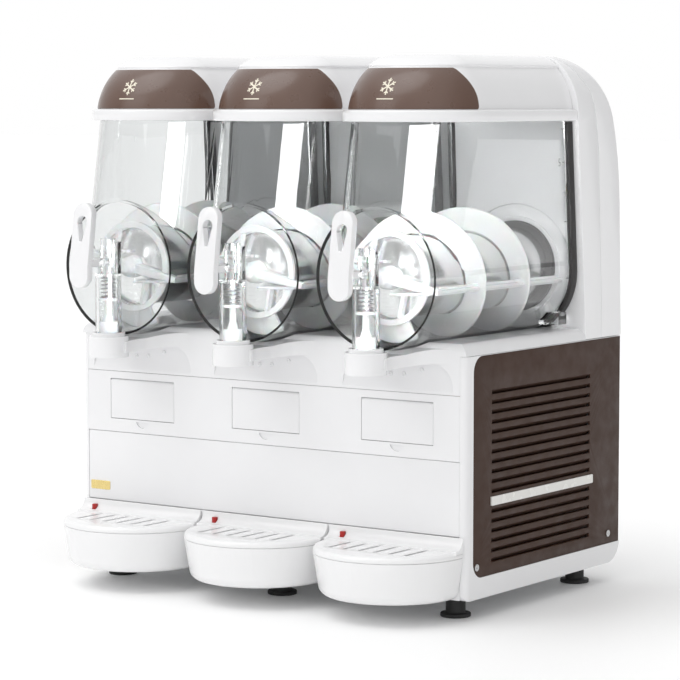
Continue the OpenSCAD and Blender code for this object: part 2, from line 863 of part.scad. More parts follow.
module tap_piston(i) {
    seal_z = [300, 313];
    disc_z = spring_z[0] - 3;
    color("white") at_bowl(i) translate([0, tap_y, 0]) {
        translate([0, 0, seal_z[0]]) cylinder(r = piston_r, h = seal_z[1] - seal_z[0]);
        translate([0, 0, seal_z[1] - 1]) cylinder(r1 = 7, r2 = stem_r, h = 9);
        translate([0, 0, seal_z[1]]) cylinder(r = stem_r, h = 374 - seal_z[1]);
        translate([0, 0, disc_z]) cylinder(r = piston_r, h = 3);
        translate([0, 0, 373]) cylinder(r = neck_r, h = pivot_z + groove_half + 2 - 373);
        for (z = [pivot_z - groove_half - 2, pivot_z + groove_half])
            translate([0, 0, z]) cylinder(r = guide_bore_r - 0.4, h = 2);
    }
}

module tap_spring(i) {
    wire_t = 1.5;
    h = spring_z[1] - spring_z[0] - 0.2;
    color("silver") at_bowl(i) translate([0, tap_y, spring_z[0] + 0.1])
        helix(7.4, 9, wire_t, h / spring_turns, h, 12, 5);
}

// ---------- Drip trays ----------

// Half section of a tray, from its axis outwards; inset makes its inside
module tray_section(inset) {
    z0 = tray_floor_z + inset;
    r = tray_corner_r - inset;
    foot_r = tray_r - tray_draft - inset;
    top = tray_rim_z + (inset > 0 ? 1 : 0);
    polygon(concat([[0, z0]], arc(foot_r - r, z0 + r, r, r, -90, 0, 12),
        [[tray_r - inset, top], [0, top]]));
}

// Turns a half section round the front of a tray and runs it straight back to y1
module tray_sweep(y1) {
    translate([0, tray_centre_y, 0]) rotate([0, 0, 180]) rotate_extrude(angle = 180, $fn = 128) children();
    mirrored_x() along_y(tray_centre_y - eps, y1) children();
}

module drip_tray(i) {
    color("white") at_bowl(i) difference() {
        tray_sweep(tray_rear_y) tray_section(0);
        tray_sweep(tray_rear_y - tray_t) tray_section(tray_t);
        tray_lugs(0.5);
    }
}

// Half section of a grille, from its axis outwards
module grille_section() {
    edge_r = 5;
    t = 2.5;
    top = grille_top_z;
    z0 = grille_z0;
    polygon(concat([[0, top]], arc(tray_r - edge_r, top - edge_r, edge_r, edge_r, 90, 0, 8),
        [[tray_r, z0], [tray_r - t, z0]],
        arc(tray_r - edge_r, top - edge_r, edge_r - t, edge_r - t, 0, 90, 6), [[0, top - t]]));
}

module drip_grille(i) {
    slot_w = 5;
    slot_y = [-60, -16];
    rise_y = tray_rear_y - grille_rise_r;
    color("white") at_bowl(i) difference() {
        union() {
            tray_sweep(tray_rear_y) grille_section();
            // Rear edge that curves up to the panel
            along_x(-tray_r, tray_r) difference() {
                translate([rise_y, grille_top_z - 2.5])
                    square([grille_rise_r, low_seam_z - grille_top_z + 2.4]);
                translate([rise_y, low_seam_z - 0.1]) circle(grille_rise_r - 1.5);
            }
        }
        for (k = [-2.5:1:2.5]) translate([20 * k, 0, grille_z0 - 1]) linear_extrude(12)
            rounded_rect([-slot_w / 2, slot_w / 2], slot_y, slot_w / 2 - eps);
        box([float_x - 3, float_x + 3], [float_y - 3, float_y + 3], [grille_z0 - 1, low_seam_z + 1]);
    }
}

module tray_float(i) {
    rod = 2.5;
    color("darkred") at_bowl(i) {
        box([float_x - rod, float_x + rod], [float_y - rod, float_y + rod], [44, 88]);
        box([float_x - 6, float_x + 6], [-14, -4], [34, 46]);
    }
}

// ---------- Controls ----------

module control_flap(i) {
    pin_end = flap_w / 2 + flap_gap + wall - 0.3;
    axis_y = barrel_r;
    barrel_z = flap_z[1] - barrel_r;
    color("whitesmoke") at_bowl(i) {
        box([-flap_w / 2, flap_w / 2], [0, wall], [flap_z[0], barrel_z]);
        rod_x(barrel_r, -flap_w / 2, flap_w / 2, axis_y, barrel_z);
        rod_x(flap_pin_r, -pin_end, pin_end, axis_y, barrel_z);
    }
}

module mix_switch(i) {
    color("dimgray") at_bowl(i) {
        intersection() {
            rod_x(switch_r, -switch_w / 2, switch_w / 2, switch_y, switch_z);
            along_x(-switch_w / 2, switch_w / 2) polygon([
                [switch_y - 8.5, switch_z], [switch_y - 12, switch_z + 11], [switch_y + 1, switch_z + 9],
                [switch_y + 4, switch_z], [switch_y + 1, switch_z - 9], [switch_y - 12, switch_z - 11]]);
        }
        rod_x(switch_pin_r, -switch_w / 2 - 2.7, switch_w / 2 + 2.7, switch_y, switch_z);
    }
}

base_pan();
feet();
plinth();
front_panel_lower();
front_panel_upper();
top_deck();
cheek_left();
cheek_right();
side_panel_left();
side_panel_right();
side_screws();
vent_strips();
rear_panel();
tower_front();
tower_cover();
evaporators();
evaporator_flanges();
evaporator_seals();
bowl_gaskets();
gearmotors();
compressor();
condenser();
fan_motor();
fan_blade();
for (i = bowls) {
    bowl(i);
    lid(i);
    auger(i);
    drive_shaft(i);
    tap_lever(i);
    tap_piston(i);
    tap_spring(i);
    drip_tray(i);
    drip_grille(i);
    tray_float(i);
    control_flap(i);
    mix_switch(i);
}
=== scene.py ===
"""The looks of a three-bowl slush machine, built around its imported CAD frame.

Metres, Z up, X along the front, -Y towards the user.
"""
import math

import bpy
from mathutils import Matrix, Vector

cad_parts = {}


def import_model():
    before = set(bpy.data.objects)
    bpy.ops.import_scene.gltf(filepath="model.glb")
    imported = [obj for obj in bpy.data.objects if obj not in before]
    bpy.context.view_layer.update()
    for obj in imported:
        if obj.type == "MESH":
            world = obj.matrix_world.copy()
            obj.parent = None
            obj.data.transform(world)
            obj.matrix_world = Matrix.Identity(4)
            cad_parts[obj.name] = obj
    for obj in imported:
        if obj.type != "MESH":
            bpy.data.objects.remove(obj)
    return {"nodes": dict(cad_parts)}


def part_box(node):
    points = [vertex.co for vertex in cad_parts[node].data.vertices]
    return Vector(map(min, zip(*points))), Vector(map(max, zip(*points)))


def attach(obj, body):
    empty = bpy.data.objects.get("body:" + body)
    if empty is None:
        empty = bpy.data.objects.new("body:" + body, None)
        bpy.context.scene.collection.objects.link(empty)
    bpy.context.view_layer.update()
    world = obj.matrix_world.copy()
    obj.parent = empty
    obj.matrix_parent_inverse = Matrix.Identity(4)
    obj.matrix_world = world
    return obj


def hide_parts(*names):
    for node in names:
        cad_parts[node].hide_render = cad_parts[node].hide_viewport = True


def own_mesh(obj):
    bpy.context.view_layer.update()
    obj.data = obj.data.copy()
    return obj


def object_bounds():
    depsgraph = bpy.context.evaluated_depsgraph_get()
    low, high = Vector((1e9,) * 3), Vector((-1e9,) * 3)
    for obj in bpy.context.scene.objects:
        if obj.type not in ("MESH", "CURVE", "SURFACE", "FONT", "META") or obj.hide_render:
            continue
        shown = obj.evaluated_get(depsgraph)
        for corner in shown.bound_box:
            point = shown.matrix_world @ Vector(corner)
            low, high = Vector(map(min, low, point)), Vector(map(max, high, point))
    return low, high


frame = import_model()
NODES = frame["nodes"]
CAD_BOX = [list(corner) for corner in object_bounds()]
BOWLS = (1, 2, 3)

# Planes and axes that the pieces are placed from
PANEL_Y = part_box("front_panel_lower")[0].y
SIDE_X = CAD_BOX[1][0]
BOWL_X = {i: sum(corner.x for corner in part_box(f"drive_shaft_{i}")) / 2 for i in BOWLS}
AXIS_Z = sum(corner.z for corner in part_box("drive_shaft_1")) / 2


def from_panel(y):
    """A distance behind the front panel as a Y of the frame."""
    return PANEL_Y + y


# ---------- Materials ----------

def socket_values(shader, **values):
    for name, value in values.items():
        shader.inputs[name.replace("_", " ")].default_value = value


class Look:
    """A node material round one Principled shader, with object-space patterns."""

    def __init__(self, name, colour, **values):
        self.material = bpy.data.materials.new(name)
        self.material.use_nodes = True
        self.tree = self.material.node_tree
        self.shader = self.tree.nodes["Principled BSDF"]
        self.place = self.tree.nodes.new("ShaderNodeTexCoord").outputs["Object"]
        self.colour = colour
        self.shader.inputs["Base Color"].default_value = (*colour, 1)
        socket_values(self.shader, **values)

    def link(self, a, b):
        self.tree.links.new(a, b)

    def noise(self, scale, detail=3.0, stretch=(1, 1, 1)):
        """A noise over the piece, with scale waves a metre."""
        mapping = self.tree.nodes.new("ShaderNodeMapping")
        mapping.inputs["Scale"].default_value = stretch
        self.link(self.place, mapping.inputs["Vector"])
        node = self.tree.nodes.new("ShaderNodeTexNoise")
        node.inputs["Scale"].default_value = scale
        node.inputs["Detail"].default_value = detail
        self.link(mapping.outputs["Vector"], node.inputs["Vector"])
        return node.outputs["Fac"]

    def spread(self, fac, low, high):
        """Maps a noise's middle range to low and high."""
        node = self.tree.nodes.new("ShaderNodeMapRange")
        for name, value in (("From Min", 0.3), ("From Max", 0.7), ("To Min", low), ("To Max", high)):
            node.inputs[name].default_value = value
        self.link(fac, node.inputs["Value"])
        return node.outputs["Result"]

    def tone(self, fac, amount):
        """Lets the colour drift by amount, lighter and darker."""
        ramp = self.tree.nodes.new("ShaderNodeValToRGB")
        for element, place, gain in zip(ramp.color_ramp.elements, (0.3, 0.7), (1 - amount, 1 + amount)):
            element.position = place
            element.color = (*(min(1, c * gain) for c in self.colour), 1)
        self.link(fac, ramp.inputs["Fac"])
        self.link(ramp.outputs["Color"], self.shader.inputs["Base Color"])
        return self

    def roughness(self, fac, low, high):
        self.link(self.spread(fac, low, high), self.shader.inputs["Roughness"])
        return self

    def bump(self, fac, height):
        """A bump of the given height in metres."""
        node = self.tree.nodes.new("ShaderNodeBump")
        node.inputs["Distance"].default_value = height
        node.inputs["Strength"].default_value = 1.0
        self.link(fac, node.inputs["Height"])
        self.link(node.outputs["Normal"], self.shader.inputs["Normal"])
        return self


def moulded(name, colour, rough, tone=0.012, grain=900, height=0.00002, **values):
    """Moulded plastic: a faint drift of tone, uneven gloss and a fine skin."""
    look = Look(name, colour, **values)
    look.tone(look.noise(9), tone)
    look.roughness(look.noise(60), rough * 0.85, rough * 1.2)
    look.bump(look.noise(grain, 2), height)
    return look.material


def metal(name, colour, rough, stretch=(1, 1, 1), scale=400, height=0.00002, tone=0.06):
    look = Look(name, colour, Metallic=1.0)
    grain = look.noise(scale, 4, stretch)
    look.tone(look.noise(30), tone)
    look.roughness(grain, rough * 0.75, rough * 1.3)
    look.bump(grain, height)
    return look.material


def clear(name, colour, rough):
    """Clear plastic with a faint smoky tint and slightly uneven gloss."""
    look = Look(name, colour, Transmission_Weight=1.0, IOR=1.49)
    look.tone(look.noise(4), 0.006)
    look.roughness(look.noise(25), rough, rough * 3)
    return look.material


WHITE = moulded("cabinet_white", (0.86, 0.86, 0.87), 0.2, Coat_Weight=0.25, Coat_Roughness=0.08)
LID_WHITE = moulded("lid_white", (0.87, 0.87, 0.88), 0.16, Coat_Weight=0.3, Coat_Roughness=0.06)
STIR_WHITE = moulded("stirrer_white", (0.86, 0.87, 0.875), 0.24, Subsurface_Weight=0.15,
                    Subsurface_Scale=0.004)
TRAY_WHITE = moulded("tray_white", (0.87, 0.87, 0.875), 0.22, grain=1500, height=0.00003)
STRIP_WHITE = moulded("strip_white", (0.82, 0.81, 0.78), 0.25)
BROWN_PANEL = moulded("panel_brown", (0.054, 0.027, 0.0175), 0.5, tone=0.06, grain=2600, height=0.00004,
                      Specular_IOR_Level=0.3)
BROWN_LABEL = moulded("label_brown", (0.125, 0.072, 0.053), 0.3, tone=0.05, Coat_Weight=0.3,
                     Coat_Roughness=0.15)
CREAM = moulded("emblem_cream", (0.86, 0.8, 0.66), 0.35)
BLACK_RUBBER = moulded("foot_rubber", (0.018, 0.018, 0.018), 0.6, tone=0.2, grain=1800, height=0.00012)
SEAL = moulded("seal_black", (0.022, 0.02, 0.02), 0.4, tone=0.15, grain=1200, height=0.00006)
SWITCH_BLACK = moulded("switch_black", (0.03, 0.03, 0.032), 0.35, tone=0.1)
RED = moulded("float_red", (0.42, 0.012, 0.01), 0.3, tone=0.06)
TICK = moulded("tick_grey", (0.16, 0.16, 0.16), 0.5)
COMPRESSOR = moulded("compressor_black", (0.02, 0.02, 0.022), 0.35, tone=0.2, grain=500, height=0.0001)
MOTOR = moulded("motor_grey", (0.32, 0.33, 0.34), 0.45, tone=0.06)
ZINC = metal("zinc_sheet", (0.6, 0.61, 0.62), 0.42, scale=60)
STEEL = metal("stainless", (0.7, 0.7, 0.7), 0.17, (1, 0.03, 1), height=0.000003, tone=0.03)
POLISHED = metal("polished_steel", (0.94, 0.94, 0.94), 0.22, (1, 1, 1), 60, 0.000004, 0.02)
SCREW = metal("screw_steel", (0.6, 0.6, 0.6), 0.3, scale=900)
SPRING = metal("spring_steel", (0.5, 0.5, 0.51), 0.22)
COPPER = metal("condenser_copper", (0.62, 0.32, 0.2), 0.35, (0.05, 1, 0.05))
GOLD = metal("badge_gold", (0.83, 0.66, 0.28), 0.28, (1, 1, 0.06), 700)
GLASS = clear("bowl_clear", (0.925, 0.935, 0.935), 0.004)


# ---------- Carried-over CAD nodes ----------

WELD_GAP = 0.00001
FLAT_ANGLE = 0.5
SHARP_ANGLE = 28.0
BEVEL_SEGMENTS = 3


def finish_node(name, material, width):
    """Gives a CAD node its material. A width above 0 rounds its sharp edges by that much and smooths its
    curved faces; a width of 0 keeps the node's own edges and its exact surface normals."""
    node = NODES[name]
    node.data.materials.clear()
    node.data.materials.append(material)
    if width > 0:
        node.data.polygons.foreach_set("use_smooth", [True] * len(node.data.polygons))
        weld = node.modifiers.new("Weld", "WELD")
        weld.merge_threshold = WELD_GAP
        flat = node.modifiers.new("Planar", "DECIMATE")
        flat.decimate_type = "DISSOLVE"
        flat.angle_limit = math.radians(FLAT_ANGLE)
        edge = node.modifiers.new("Bevel", "BEVEL")
        edge.width = width
        edge.segments = BEVEL_SEGMENTS
        edge.limit_method = "ANGLE"
        edge.angle_limit = math.radians(SHARP_ANGLE)
        edge.harden_normals = True
        edge.use_clamp_overlap = False
    return node


CARRIED = (
    (WHITE, 0.0012, ("plinth", "front_panel_lower", "tower_front", "tower_cover")),
    (WHITE, 0, ("front_panel_upper", "top_deck", "cheek_left", "cheek_right")),
    (BROWN_PANEL, 0.0005, ("side_panel_left", "side_panel_right")),
    (STRIP_WHITE, 0, ("vent_strips",)),
    (ZINC, 0.0005, ("base_pan", "rear_panel")),
    (BLACK_RUBBER, 0.0012, ("feet",)),
    (SCREW, 0.0003, ("side_screws",)),
    (STEEL, 0, ("evaporators",)),
    (WHITE, 0.0005, ("evaporator_flanges",)),
    (SEAL, 0.0008, ("evaporator_seals", "bowl_gaskets")),
    (MOTOR, 0.0008, ("gearmotors", "fan_motor", "fan_blade")),
    (COMPRESSOR, 0.002, ("compressor",)),
    (COPPER, 0.0004, ("condenser",)),
)
CARRIED_EACH = (
    (GLASS, 0, "bowl"),
    (STEEL, 0.0005, "drive_shaft"),
    (LID_WHITE, 0.0008, "tap_lever"),
    (STIR_WHITE, 0, "tap_piston"),
    (TRAY_WHITE, 0.001, "drip_tray"),
    (TRAY_WHITE, 0.0006, "drip_grille"),
    (RED, 0.0005, "tray_float"),
    (WHITE, 0.0006, "control_flap"),
    (SWITCH_BLACK, 0.0005, "mix_switch"),
)
for material, width, names in CARRIED:
    for name in names:
        finish_node(name, material, width)
for material, width, stem in CARRIED_EACH:
    for i in BOWLS:
        finish_node(f"{stem}_{i}", material, width)


# ---------- New pieces ----------

CREASE_ANGLE = 32.0


def new_piece(name, points, faces, material, body, slot=None, replaces=()):
    mesh = bpy.data.meshes.new(name)
    mesh.from_pydata([tuple(p) for p in points], [], faces)
    mesh.validate()
    mesh.polygons.foreach_set("use_smooth", [True] * len(mesh.polygons))
    mesh.set_sharp_from_angle(angle=math.radians(CREASE_ANGLE))
    mesh.materials.append(material)
    piece = bpy.data.objects.new(name, mesh)
    bpy.context.scene.collection.objects.link(piece)
    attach(piece, body)
    if replaces:
        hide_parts(*replaces)
    return piece


class Build:
    """Collects the points and faces of one piece."""

    def __init__(self):
        self.points = []
        self.faces = []

    def loft(self, rings, cap=True):
        """Joins closed rings of equal length, in order; cap fills the end rings."""
        start = len(self.points)
        size = len(rings[0])
        for ring in rings:
            self.points += [Vector(p) for p in ring]
        for r in range(len(rings) - 1):
            for k in range(size):
                a = start + r * size + k
                b = start + r * size + (k + 1) % size
                self.faces.append((a, b, b + size, a + size))
        if cap:
            last = start + (len(rings) - 1) * size
            self.faces.append(tuple(reversed(range(start, start + size))))
            self.faces.append(tuple(range(last, last + size)))

    def box(self, low, high, place=Matrix.Identity(4), round_by=0.0):
        """A block between two corners, with its long edges chamfered by round_by, set in place."""
        (x0, y0, z0), (x1, y1, z1) = low, high
        c = round_by
        outline = [(x0 + c, z0), (x1 - c, z0), (x1, z0 + c), (x1, z1 - c), (x1 - c, z1), (x0 + c, z1),
                   (x0, z1 - c), (x0, z0 + c)]
        if c <= 0:
            outline = [(x0, z0), (x1, z0), (x1, z1), (x0, z1)]
        self.loft([[place @ Vector((x, y, z)) for x, z in outline] for y in (y0, y1)])

    def lathe(self, profile, place, steps=48, cap=True):
        """Turns (radius, y) pairs about the Y axis of place."""
        rings = [[place @ Vector((r * math.cos(a), y, r * math.sin(a)))
                  for a in (2 * math.pi * k / steps for k in range(steps))] for r, y in profile]
        self.loft(rings, cap=cap)

    def piece(self, name, material, body, **options):
        return new_piece(name, self.points, self.faces, material, body, **options)


def ease(t):
    return t * t * (3 - 2 * t)


# Lids: a vaulted hood with a rounded nose and a band round its foot
LID_TOP_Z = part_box("lid_1")[1].z
LID_FOOT_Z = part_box("lid_1")[0].z
LID_REAR_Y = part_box("lid_1")[1].y
LID_HALF = (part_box("lid_1")[1].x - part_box("lid_1")[0].x) / 2
BAND_H = 0.013
BAND_LIP = 0.003
SIDE_GAP = 0.001
HOOD_INSET = 0.001
NOSE_Y = from_panel(0.045)
NOSE_D = NOSE_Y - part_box("lid_1")[0].y - BAND_LIP
VAULT_Z = 0.546
VAULT_W = 0.052
VAULT_TOP_Z = 0.617
LABEL_Z = (0.556, 0.602)
LABEL_INSET = 0.0046
LABEL_LEAN_Z = 0.565
NOSE_STEPS = 56
SIDE_STEPS = 5


def vault(z):
    """How full the lids' cross-section is at height z, from 1 at its foot to 0 at its top."""
    return math.sqrt(max(0.0, 1 - ((z - VAULT_Z) / (VAULT_TOP_Z - VAULT_Z)) ** 2))


def lid_section(z, inset):
    """Half width and nose depth of a lid at height z."""
    full = vault(z)
    return LID_HALF - SIDE_GAP - VAULT_W + VAULT_W * full - inset, max(0.004, NOSE_D * full - inset)


def lid_ring(x0, z, half, nose, rear_y=LID_REAR_Y):
    """One level of a lid, from its rear right corner round the nose to its rear left corner."""
    side = [(half, rear_y + (NOSE_Y - rear_y) * k / SIDE_STEPS) for k in range(SIDE_STEPS)]
    front = [(half * math.cos(a), NOSE_Y - nose * math.sin(a))
             for a in (math.pi * k / NOSE_STEPS for k in range(NOSE_STEPS + 1))]
    outline = side + front + [(-x, y) for x, y in reversed(side)]
    return [(x0 + x, y, z) for x, y in outline]


def lid_levels():
    """(height, half width, nose depth) from a lid's foot to its top."""
    half = LID_HALF
    nose = NOSE_D + BAND_LIP
    foot = LID_FOOT_Z
    band_top = foot + BAND_H
    curve = 0.0025
    levels = [(foot, half - 0.0012, nose - 0.0012), (foot + 0.0005, half - 0.0003, nose - 0.0003),
              (foot + 0.0014, half, nose), (band_top - curve, half, nose)]
    levels += [(band_top - curve + curve * math.sin(a), half - curve * (1 - math.cos(a)),
                nose - curve * (1 - math.cos(a))) for a in (math.pi / 6 * k for k in (1, 2, 3))]
    levels += [(band_top + 0.0001, *lid_section(band_top, LABEL_INSET - 0.0008)),
               (band_top + 0.0006, *lid_section(band_top + 0.0006, LABEL_INSET))]
    for k in range(1, 17):
        z = band_top + (LABEL_Z[1] - band_top) * k / 16
        levels.append((z, *lid_section(z, LABEL_INSET)))
    step_h = 0.0035
    for k in range(1, 7):
        z = LABEL_Z[1] + step_h * k / 6
        levels.append((z, *lid_section(z, LABEL_INSET + (HOOD_INSET - LABEL_INSET) * ease(k / 6))))
    for k in range(1, 15):
        z = LABEL_Z[1] + step_h + (LID_TOP_Z - 0.0001 - LABEL_Z[1] - step_h) * math.sin(math.pi / 2 * k / 14)
        levels.append((z, *lid_section(z, HOOD_INSET)))
    return levels


def lid(i):
    """A hollow lid: an outer and an inner skin, joined round the mouth."""
    shell = 0.003
    ledge_z = LID_FOOT_Z + 0.0022
    build = Build()
    outer = [lid_ring(BOWL_X[i], *level) for level in lid_levels()]
    inner = []
    for z, half, nose in reversed(lid_levels()):
        if z > ledge_z + 0.006 and z < LID_TOP_Z - 0.003:
            inner.append(lid_ring(BOWL_X[i], z - shell * (1 - vault(z)), half - shell,
                                  max(0.002, nose - shell), LID_REAR_Y - shell))
    mouth = LID_HALF - 0.0088
    ledge = ((ledge_z + 0.001, mouth - 0.004, mouth - 0.008), (ledge_z, mouth - 0.004, mouth - 0.008),
             (ledge_z, mouth, mouth - 0.003), (LID_FOOT_Z, mouth, mouth - 0.003))
    for z, half, nose in ledge:
        inner.append(lid_ring(BOWL_X[i], z, half, nose, LID_REAR_Y - shell))
    build.loft(outer, cap=False)
    build.loft(inner, cap=False)
    size = len(outer[0])
    last_outer = size * (len(outer) - 1)
    first_inner = size * len(outer)
    last_inner = first_inner + size * (len(inner) - 1)
    build.faces.append(tuple(range(last_outer, last_outer + size)))
    build.faces.append(tuple(reversed(range(first_inner, first_inner + size))))
    for k in range(size):
        n = (k + 1) % size
        build.faces.append((last_inner + k, last_inner + n, n, k))
    build.piece(f"hood_{i}", LID_WHITE, f"lid_{i}", slot="lid_white", replaces=[f"lid_{i}"])


def label_end(z):
    """Nose angle in degrees where a label ends at height z: upright low down and swept back at the top."""
    rise = max(0.0, (z - LABEL_LEAN_Z) / (LABEL_Z[1] - LABEL_LEAN_Z))
    low_corner, high_corner = 0.004, 0.003
    low = min(1, max(0.0, (LABEL_Z[0] + low_corner - z) / low_corner))
    high = min(1, max(0.0, (z - LABEL_Z[1] + high_corner) / high_corner))
    upright = 6.5 + 20 * rise ** 2.2
    return upright + 4.5 * (1 - math.sqrt(1 - low ** 2)) + 3 * (1 - math.sqrt(1 - high ** 2))


def on_nose(i, angle, z, lift):
    """A point of lid i's label face at a nose angle in degrees, lifted off the face."""
    half, nose = lid_section(z, LABEL_INSET - lift)
    a = math.radians(angle)
    return (BOWL_X[i] + half * math.cos(a), NOSE_Y - nose * math.sin(a), z)


def label(i):
    """The coloured foil round a lid's nose."""
    rows, columns = 26, 60
    low, high = LABEL_Z[0] + 0.0009, LABEL_Z[1] - 0.0003
    build = Build()
    rings = []
    for lift in (0.0001, 0.0006):
        rings.append([])
        for r in range(rows + 1):
            z = low + (high - low) * r / rows
            end = label_end(z)
            for c in range(columns + 1):
                rings[-1].append(on_nose(i, end + (180 - 2 * end) * c / columns, z, lift))
    build.points = [Vector(p) for ring in rings for p in ring]
    width = columns + 1
    sheet = width * (rows + 1)
    for r in range(rows):
        for c in range(columns):
            a = r * width + c
            build.faces.append((a, a + width, a + width + 1, a + 1))
            build.faces.append((sheet + a, sheet + a + 1, sheet + a + width + 1, sheet + a + width))
    rim = list(range(width)) + [r * width + columns for r in range(1, rows + 1)]
    rim += [rows * width + c for c in range(columns - 1, -1, -1)]
    rim += [r * width for r in range(rows - 1, 0, -1)]
    for k, a in enumerate(rim):
        b = rim[(k + 1) % len(rim)]
        build.faces.append((a, b, sheet + b, sheet + a))
    build.piece(f"lid_label_{i}", BROWN_LABEL, f"lid_{i}")


def emblem(i):
    """A plain snowflake over a short bar, in relief on the label."""
    centre_z = 0.5815
    build = Build()

    def stroke(a, b, width):
        a, b = Vector(a), Vector(b)
        along = (b - a).normalized() * width / 2
        across = Vector((-along.y, along.x))
        steps = 6
        rings = []
        for k in range(steps + 1):
            mid = a - along + (b - a + 2 * along) * k / steps
            ring = []
            for side, lift in ((-1, 0.0005), (1, 0.0005), (1, 0.0010), (-1, 0.0010)):
                u, v = mid + across * side
                half = lid_section(centre_z + v, LABEL_INSET)[0]
                ring.append(on_nose(i, math.degrees(math.acos(u / half)), centre_z + v, lift))
            rings.append(ring)
        build.loft(rings)

    arm = 0.0085
    for k in range(6):
        a = math.pi / 3 * k + math.pi / 6
        tip = Vector((math.cos(a), math.sin(a))) * arm
        stroke((0, 0), tip, 0.0014)
        for turn in (-1, 1):
            b = a + turn * math.pi / 4
            root = tip * 0.6
            stroke(root, root + Vector((math.cos(b), math.sin(b))) * arm * 0.32, 0.0011)
    stroke((-0.010, -0.0135), (0.010, -0.0135), 0.0012)
    build.piece(f"lid_emblem_{i}", CREAM, f"lid_{i}")


# Stirrers: a helical flight on two bars, with a ring and an arm at the front
FLIGHT_Y = (from_panel(-0.012), from_panel(0.190))
FLIGHT_R = (0.0465, 0.072)
FLIGHT_PITCH = 0.093
FLIGHT_AT = from_panel(0.158)
BAR_R = 0.061
BAR_ANGLE = math.radians(-12)
BAR_Y = (from_panel(-0.014), from_panel(0.244))
HUB_Y = from_panel(-0.034)


def flight_section():
    """(radius, offset along the axis) round the flight's section, with a rounded rim."""
    r0, r1 = FLIGHT_R
    t = 0.002
    rim = [(r1 - t + t * math.cos(a), t * math.sin(a))
           for a in (math.pi / 2 - math.pi / 8 * k for k in range(9))]
    return [(r0, t * 1.25), (r0 + 0.004, t)] + rim + [(r0 + 0.004, -t), (r0, -t * 1.25)]


def auger(i):
    """A flight on two bars, with the ring and the arm in front."""
    build = Build()
    axis = Matrix.Translation((BOWL_X[i], 0, AXIS_Z))
    turns = (FLIGHT_Y[1] - FLIGHT_Y[0]) / FLIGHT_PITCH
    steps = int(turns * 64)
    rings = []
    for k in range(steps + 1):
        y = FLIGHT_Y[0] + (FLIGHT_Y[1] - FLIGHT_Y[0]) * k / steps
        a = 2 * math.pi * (FLIGHT_AT - y) / FLIGHT_PITCH
        rings.append([axis @ Vector((r * math.cos(a), y + d, r * math.sin(a))) for r, d in flight_section()])
    build.loft(rings)
    turned = axis @ Matrix.Rotation(-BAR_ANGLE, 4, "Y")
    for side in (-1, 1):
        x = side * BAR_R
        build.box((x - 0.0045, BAR_Y[0], -0.002), (x + 0.0045, BAR_Y[1], 0.002), turned, 0.0008)
        build.box((x - 0.0012, BAR_Y[0] + 0.004, -0.0045), (x + 0.0012, BAR_Y[1] - 0.004, 0.0045),
                  turned, 0.0004)
    ring_y = from_panel(-0.016)
    build.lathe([(0.0455, ring_y), (0.052, ring_y), (0.0525, ring_y + 0.0005), (0.0525, ring_y + 0.0035),
                 (0.052, ring_y + 0.004), (0.0455, ring_y + 0.004), (0.0455, ring_y)], axis, 96, cap=False)
    arm(build, turned)
    build.piece(f"stirrer_{i}", STIR_WHITE, f"auger_{i}", slot="auger_white", replaces=[f"auger_{i}"])


def arm(build, turned):
    """The arm across a stirrer's front, tapered towards its ends, with a brace and a scraper under
    each half and the hub in its middle."""
    y0, y1 = from_panel(-0.024), BAR_Y[0] + 0.001
    reach = BAR_R + 0.0045
    steps = 12
    chamfer = 0.0012
    brace_half = 0.0017
    rings = []
    for k in range(-steps, steps + 1):
        x = reach * k / steps
        half = 0.0032 + 0.0030 * (1 - abs(k) / steps) ** 0.7
        front = y0 + 0.004 * (abs(k) / steps) ** 2
        rings.append([turned @ Vector((x, y, z)) for y, z in (
            (y1, -half), (y1, half), (front + chamfer, half), (front, half - chamfer),
            (front, chamfer - half), (front + chamfer, -half))])
    build.loft(rings)
    for turn in (0, math.pi):
        place = turned @ Matrix.Rotation(turn, 4, "Y")
        brace = []
        for k in range(steps + 1):
            t = k / steps
            x = 0.008 + (reach - 0.016) * t
            mid = -0.0165 + 0.0125 * t
            brace.append([place @ Vector((x, y, z)) for y, z in (
                (y1, mid - brace_half), (y1, mid + brace_half), (y0 + 0.005, mid + brace_half),
                (y0 + 0.004, mid), (y0 + 0.005, mid - brace_half))])
        build.loft(brace)
        build.box((0.0235, y0 + 0.003, -0.0385), (0.0275, y1 - 0.001, -0.013), place, 0.0008)
    nose = [(0.0085 * math.sin(a), HUB_Y + 0.0085 * (1 - math.cos(a)) * 0.5)
            for a in (math.pi / 2 * k / 8 for k in range(1, 9))]
    profile = [(0.0002, HUB_Y)] + nose
    profile += [(0.0095, HUB_Y + 0.006), (0.012, HUB_Y + 0.011), (0.0135, y1), (0.0075, y1),
                (0.0072, HUB_Y + 0.006), (0.0002, HUB_Y + 0.006)]
    build.lathe(profile, turned, 40)


def drum_face(i):
    """The pressed steel cap on a drum's front end, slightly domed, with a hole for the shaft."""
    edge_y = from_panel(-0.008)
    edge_r = 0.0432
    hole_r = 0.0075
    dome = 0.0034
    steps = 10
    profile = [(edge_r, edge_y), (edge_r, edge_y - 0.0006)]
    for k in range(1, steps + 1):
        r = edge_r - 0.0006 - (edge_r - 0.0006 - hole_r) * k / steps
        profile.append((r, edge_y - 0.0010 - dome * (1 - (r / edge_r) ** 2)))
    profile += [(hole_r, edge_y), (edge_r, edge_y)]
    build = Build()
    build.lathe(profile, Matrix.Translation((BOWL_X[i], 0, AXIS_Z)), 96, cap=False)
    build.piece(f"drum_face_{i}", POLISHED, "root", slot="stainless")


